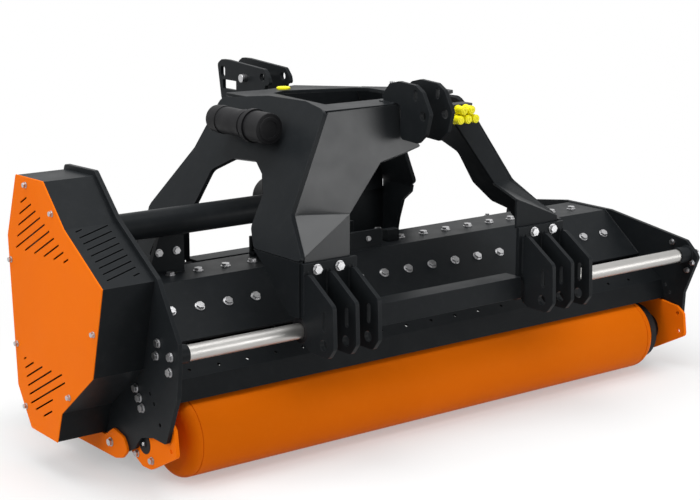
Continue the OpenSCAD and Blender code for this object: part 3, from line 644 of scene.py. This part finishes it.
# Distance along the shaft and limit to the spline's radius, 0 for the plain journal
SPLINE = [
    (-205, 0.80), (-203, 1.0), (-186, 1.0), (-185, 0.86),
    (-177, 0.86), (-176, 1.0), (-152, 1.0), (-151, 0.0),
    (151, 0.0), (152, 1.0), (176, 1.0), (177, 0.86),
    (185, 0.86), (186, 1.0), (203, 1.0), (205, 0.80),
]
bm = bmesh.new()
rings = []
for along, limit in SPLINE:
    ring = []
    for k in range(SPLINE_STEPS):
        turn = k * math.tau / SPLINE_STEPS
        tooth = SPLINE_OUTER if k % STEPS_PER_TOOTH in TOOTH_STEPS else SPLINE_INNER
        r = JOURNAL_RADIUS if limit == 0 else min(tooth, SPLINE_OUTER * limit)
        x, z = GEARBOX_X + r * math.cos(turn), CROSS_Z + r * math.sin(turn)
        ring.append(bm.verts.new(at(x, MID_Y + along, z)))
    rings.append(ring)
loop_faces(bm, rings)
detail("splined_drive_shaft", bm, "pto_shaft", SLOT_OF["pto_shaft"], "pto_shaft", sharp=SHARP)

# Rubber curtain as hanging flaps under a clamping strip
CURTAIN_IN = [(765.2, 258.0), (778.3, 213.6), (780.0, 114.0)]
CURTAIN_OUT = [(785.0, 114.0), (783.3, 212.9), (770.0, 259.4)]
CURTAIN_END, FLAPS, HALF_SLIT, CURTAIN_EDGE = HALF_W - 4, 11, 0.8, 0.0008
STRIP = [(770.4, 258.0), (780.9, 222.0), (784.8, 223.2), (774.3, 259.2)]
STRIP_END = HALF_W - 10
STRIP_NORMAL = Vector((0, 0.96, 0.28)).normalized()
STRIP_BOLT_END, STRIP_BOLT_Y, STRIP_BOLT_Z = HALF_W - 30, 779.5, 241.2
flap_w = 2 * CURTAIN_END / FLAPS
bm = bmesh.new()
for i in range(FLAPS):
    x0 = -CURTAIN_END + i * flap_w
    x1 = x0 + flap_w
    ends = (x0 + (0 if i == 0 else HALF_SLIT), x1 - (0 if i == FLAPS - 1 else HALF_SLIT))
    loop_faces(bm, [[bm.verts.new(at(x, y, z)) for y, z in CURTAIN_IN + CURTAIN_OUT] for x in ends])
detail("curtain_flaps", bm, "deck", SLOT_OF["rear_curtain"], "rear_curtain", width=CURTAIN_EDGE)
bm = bmesh.new()
loop_faces(bm, [[bm.verts.new(at(x, y, z)) for y, z in STRIP] for x in (-STRIP_END, STRIP_END)])
detail("curtain_strip", bm, "deck", "dark_paint", width=CURTAIN_EDGE)
bm = bmesh.new()
for i in range(FLAPS + 1):
    x = -STRIP_BOLT_END + i * 2 * STRIP_BOLT_END / FLAPS
    hex_bolt(bm, (x, STRIP_BOLT_Y, STRIP_BOLT_Z), STRIP_NORMAL, size=7)
detail("curtain_bolts", bm, "deck", "zinc")

# Roller hubs: raised ring and centre bolt
HUB_X = HALF_W - 0.3
bm = bmesh.new()
for s in (-1, 1):
    ring_band(bm, (s * HUB_X, ROLLER_Y, ROLLER_Z), X_AXIS * s, -0.5, 2.5, inner=7, outer=9.2)
detail("hub_rings", bm, "deck", "black_plastic")
bm = bmesh.new()
for s in (-1, 1):
    hex_bolt(bm, (s * HUB_X, ROLLER_Y, ROLLER_Z), X_AXIS * s, size=6)
detail("hub_bolts", bm, "deck", "zinc")

# Paper holder: raised ring on the lid, straps round the tube
CANISTER_X, CANISTER_Z, LID_Y, STRAP_Y = TOWER_X - 376, 853, 240, (350, 460)
bm = bmesh.new()
ring_band(bm, (CANISTER_X, LID_Y, CANISTER_Z), -Y_AXIS, -0.5, 2.0, inner=24, outer=32)
detail("lid_grip", bm, "canister_cap", "black_plastic")
bm = bmesh.new()
for y in STRAP_Y:
    ring_band(bm, (CANISTER_X, y, CANISTER_Z), Y_AXIS, -10, 10, inner=36, outer=39.2)
detail("holder_straps", bm, "tower", "black_plastic")

# Coupler caps: collar at the mouth and ring on the end
COUPLERS = ((209, 864), (237, 864), (197, 838), (225, 838), (253, 838))
CAP_MOUTH_Y, CAP_END_Y = 160, 131
bm = bmesh.new()
for x, z in COUPLERS:
    ring_band(bm, (TOWER_X + x, CAP_MOUTH_Y, z), Y_AXIS, -4.5, 1.5, inner=9.2, outer=13.6, count=32)
    ring_band(bm, (TOWER_X + x, CAP_END_Y, z), Y_AXIS, -2.5, 0.5, inner=3, outer=8, count=32)
detail("cap_collars", bm, "coupler_caps", "yellow_plastic")

# Plug in the top of the tower
TOWER_PLUG = (TOWER_X - 97, 573, TOP_Z)
bm = bmesh.new()
lathe(bm, TOWER_PLUG, Z_AXIS, [(0, 20), (4, 20), (6, 17), (6.5, 6)], 40)
detail("tower_plug", bm, "tower", "yellow_plastic")

# Hydraulic ports and gland of the side-shift cylinder
PORT_PLACES, PORT_Z, PORT_HEIGHT, GLAND_X = (185, 735), CYLINDER_Z + 24, 14, 130
bm = bmesh.new()
for x in PORT_PLACES:
    lathe(bm, (x, CYLINDER_Y, PORT_Z), Z_AXIS, [(0, 11), (PORT_HEIGHT - 2, 11), (PORT_HEIGHT, 9)], 32)
ring_band(bm, (GLAND_X, CYLINDER_Y, CYLINDER_Z), -X_AXIS, -1, 6, inner=18.6, outer=25)
detail("cylinder_ports", bm, "deck", "dark_paint")
bm = bmesh.new()
for x in PORT_PLACES:
    hex_bolt(bm, (x, CYLINDER_Y, PORT_Z + PORT_HEIGHT), Z_AXIS, size=8)
detail("port_plugs", bm, "deck", "zinc")


# Studio, in metres and watts
# Strength of the white background as a light, and where it is seen or mirrored
SOFT_LEVEL, SEEN_LEVEL = 0.42, 1.0
FLOOR_RADIUS, FLOOR_DROP, FLOOR_GREY = 14, 0.0005, 0.85
# The floor's share of plain white, which rises to 1 between two distances from the middle
NEAR_GLOW, GLOW_START, GLOW_END = 0.35, 0.7, 1.9


def area_light(name, place, target, size, power):
    """A rectangular softbox aimed at a target."""
    lamp = bpy.data.lights.new(name, "AREA")
    lamp.shape = "RECTANGLE"
    lamp.size, lamp.size_y = size
    lamp.energy = power
    obj = bpy.data.objects.new(name, lamp)
    obj.location = place
    scene.collection.objects.link(obj)
    obj.rotation_mode = "QUATERNION"
    obj.rotation_quaternion = (Vector(target) - obj.location).to_track_quat("-Z", "Y")


def background_level(tree):
    """Level of a white background: one for the light that it gives, one where it is seen or mirrored."""
    path = tree.nodes.new("ShaderNodeLightPath")
    level = path.outputs["Is Camera Ray"]
    for ray in ("Is Glossy Ray", "Is Transmission Ray"):
        either = tree.nodes.new("ShaderNodeMath")
        either.operation = "MAXIMUM"
        tree.links.new(level, either.inputs[0])
        tree.links.new(path.outputs[ray], either.inputs[1])
        level = either.outputs[0]
    span = tree.nodes.new("ShaderNodeMapRange")
    span.inputs["To Min"].default_value = SOFT_LEVEL
    span.inputs["To Max"].default_value = SEEN_LEVEL
    tree.links.new(level, span.inputs["Value"])
    return span.outputs["Result"]


area_light("overhead_softbox", (-0.6, -0.4, 4.6), (0, 0, 0.4), size=(4.5, 3.5), power=190)
area_light("front_softbox", (2.2, -3.55, 0.65), (-0.17, -0.33, 0.77), size=(2.4, 1.5), power=50)
area_light("side_softbox", (-4.2, -0.6, 2.4), (0, 0, 0.5), size=(2.2, 2.4), power=75)

# Floor: takes the shadow near the part and fades to white away from it
floor_mesh = bpy.data.meshes.new("floor_mesh")
bm = bmesh.new()
bmesh.ops.create_circle(bm, cap_ends=True, radius=FLOOR_RADIUS, segments=96)
bm.to_mesh(floor_mesh)
bm.free()
floor = bpy.data.objects.new("floor", floor_mesh)
floor.location.z = -FLOOR_DROP
scene.collection.objects.link(floor)
floor_material = bpy.data.materials.new("pale_floor")
floor_material.use_nodes = True
tree = floor_material.node_tree
tree.nodes.clear()
coords = tree.nodes.new("ShaderNodeTexCoord")
length = tree.nodes.new("ShaderNodeVectorMath")
length.operation = "LENGTH"
reach = tree.nodes.new("ShaderNodeMapRange")
reach.interpolation_type = "SMOOTHSTEP"
reach.inputs["From Min"].default_value = GLOW_START
reach.inputs["From Max"].default_value = GLOW_END
reach.inputs["To Min"].default_value = NEAR_GLOW
diffuse = tree.nodes.new("ShaderNodeBsdfDiffuse")
diffuse.inputs["Color"].default_value = (FLOOR_GREY, FLOOR_GREY, FLOOR_GREY, 1)
glow = tree.nodes.new("ShaderNodeEmission")
glow.inputs["Color"].default_value = (1, 1, 1, 1)
shared = tree.nodes.new("ShaderNodeMixShader")
out = tree.nodes.new("ShaderNodeOutputMaterial")
tree.links.new(background_level(tree), glow.inputs["Strength"])
tree.links.new(coords.outputs["Object"], length.inputs[0])
tree.links.new(length.outputs["Value"], reach.inputs["Value"])
tree.links.new(reach.outputs["Result"], shared.inputs["Fac"])
tree.links.new(diffuse.outputs["BSDF"], shared.inputs[1])
tree.links.new(glow.outputs["Emission"], shared.inputs[2])
tree.links.new(shared.outputs["Shader"], out.inputs["Surface"])
floor_mesh.materials.append(floor_material)

# White world
world = bpy.data.worlds.new("studio")
scene.world = world
world.use_nodes = True
tree = world.node_tree
tree.nodes.clear()
white = tree.nodes.new("ShaderNodeBackground")
white.inputs["Color"].default_value = (1, 1, 1, 1)
out = tree.nodes.new("ShaderNodeOutputWorld")
tree.links.new(background_level(tree), white.inputs["Strength"])
tree.links.new(white.outputs["Background"], out.inputs["Surface"])

# Camera at the photograph's place
CAMERA_PLACE = (-2.856, -3.7723, 1.505)
LENS, SENSOR_WIDTH = 85.53, 36.0
RIGHT = Vector((0.7956, -0.6059, 0.0)).normalized()
FORWARD = Vector((0.5911, 0.7761, -0.2198)).normalized()
UP = RIGHT.cross(FORWARD).normalized()
camera_data = bpy.data.cameras.new("camera")
camera_data.sensor_fit = "HORIZONTAL"
camera_data.sensor_width = SENSOR_WIDTH
camera_data.lens = LENS
camera_data.clip_end = 100
camera = bpy.data.objects.new("camera", camera_data)
camera.matrix_world = Matrix.Translation(CAMERA_PLACE) @ Matrix(
    (
        (RIGHT.x, UP.x, -FORWARD.x, 0),
        (RIGHT.y, UP.y, -FORWARD.y, 0),
        (RIGHT.z, UP.z, -FORWARD.z, 0),
        (0, 0, 0, 1),
    )
)
scene.collection.objects.link(camera)
scene.camera = camera
scene.view_settings.view_transform = "Standard"
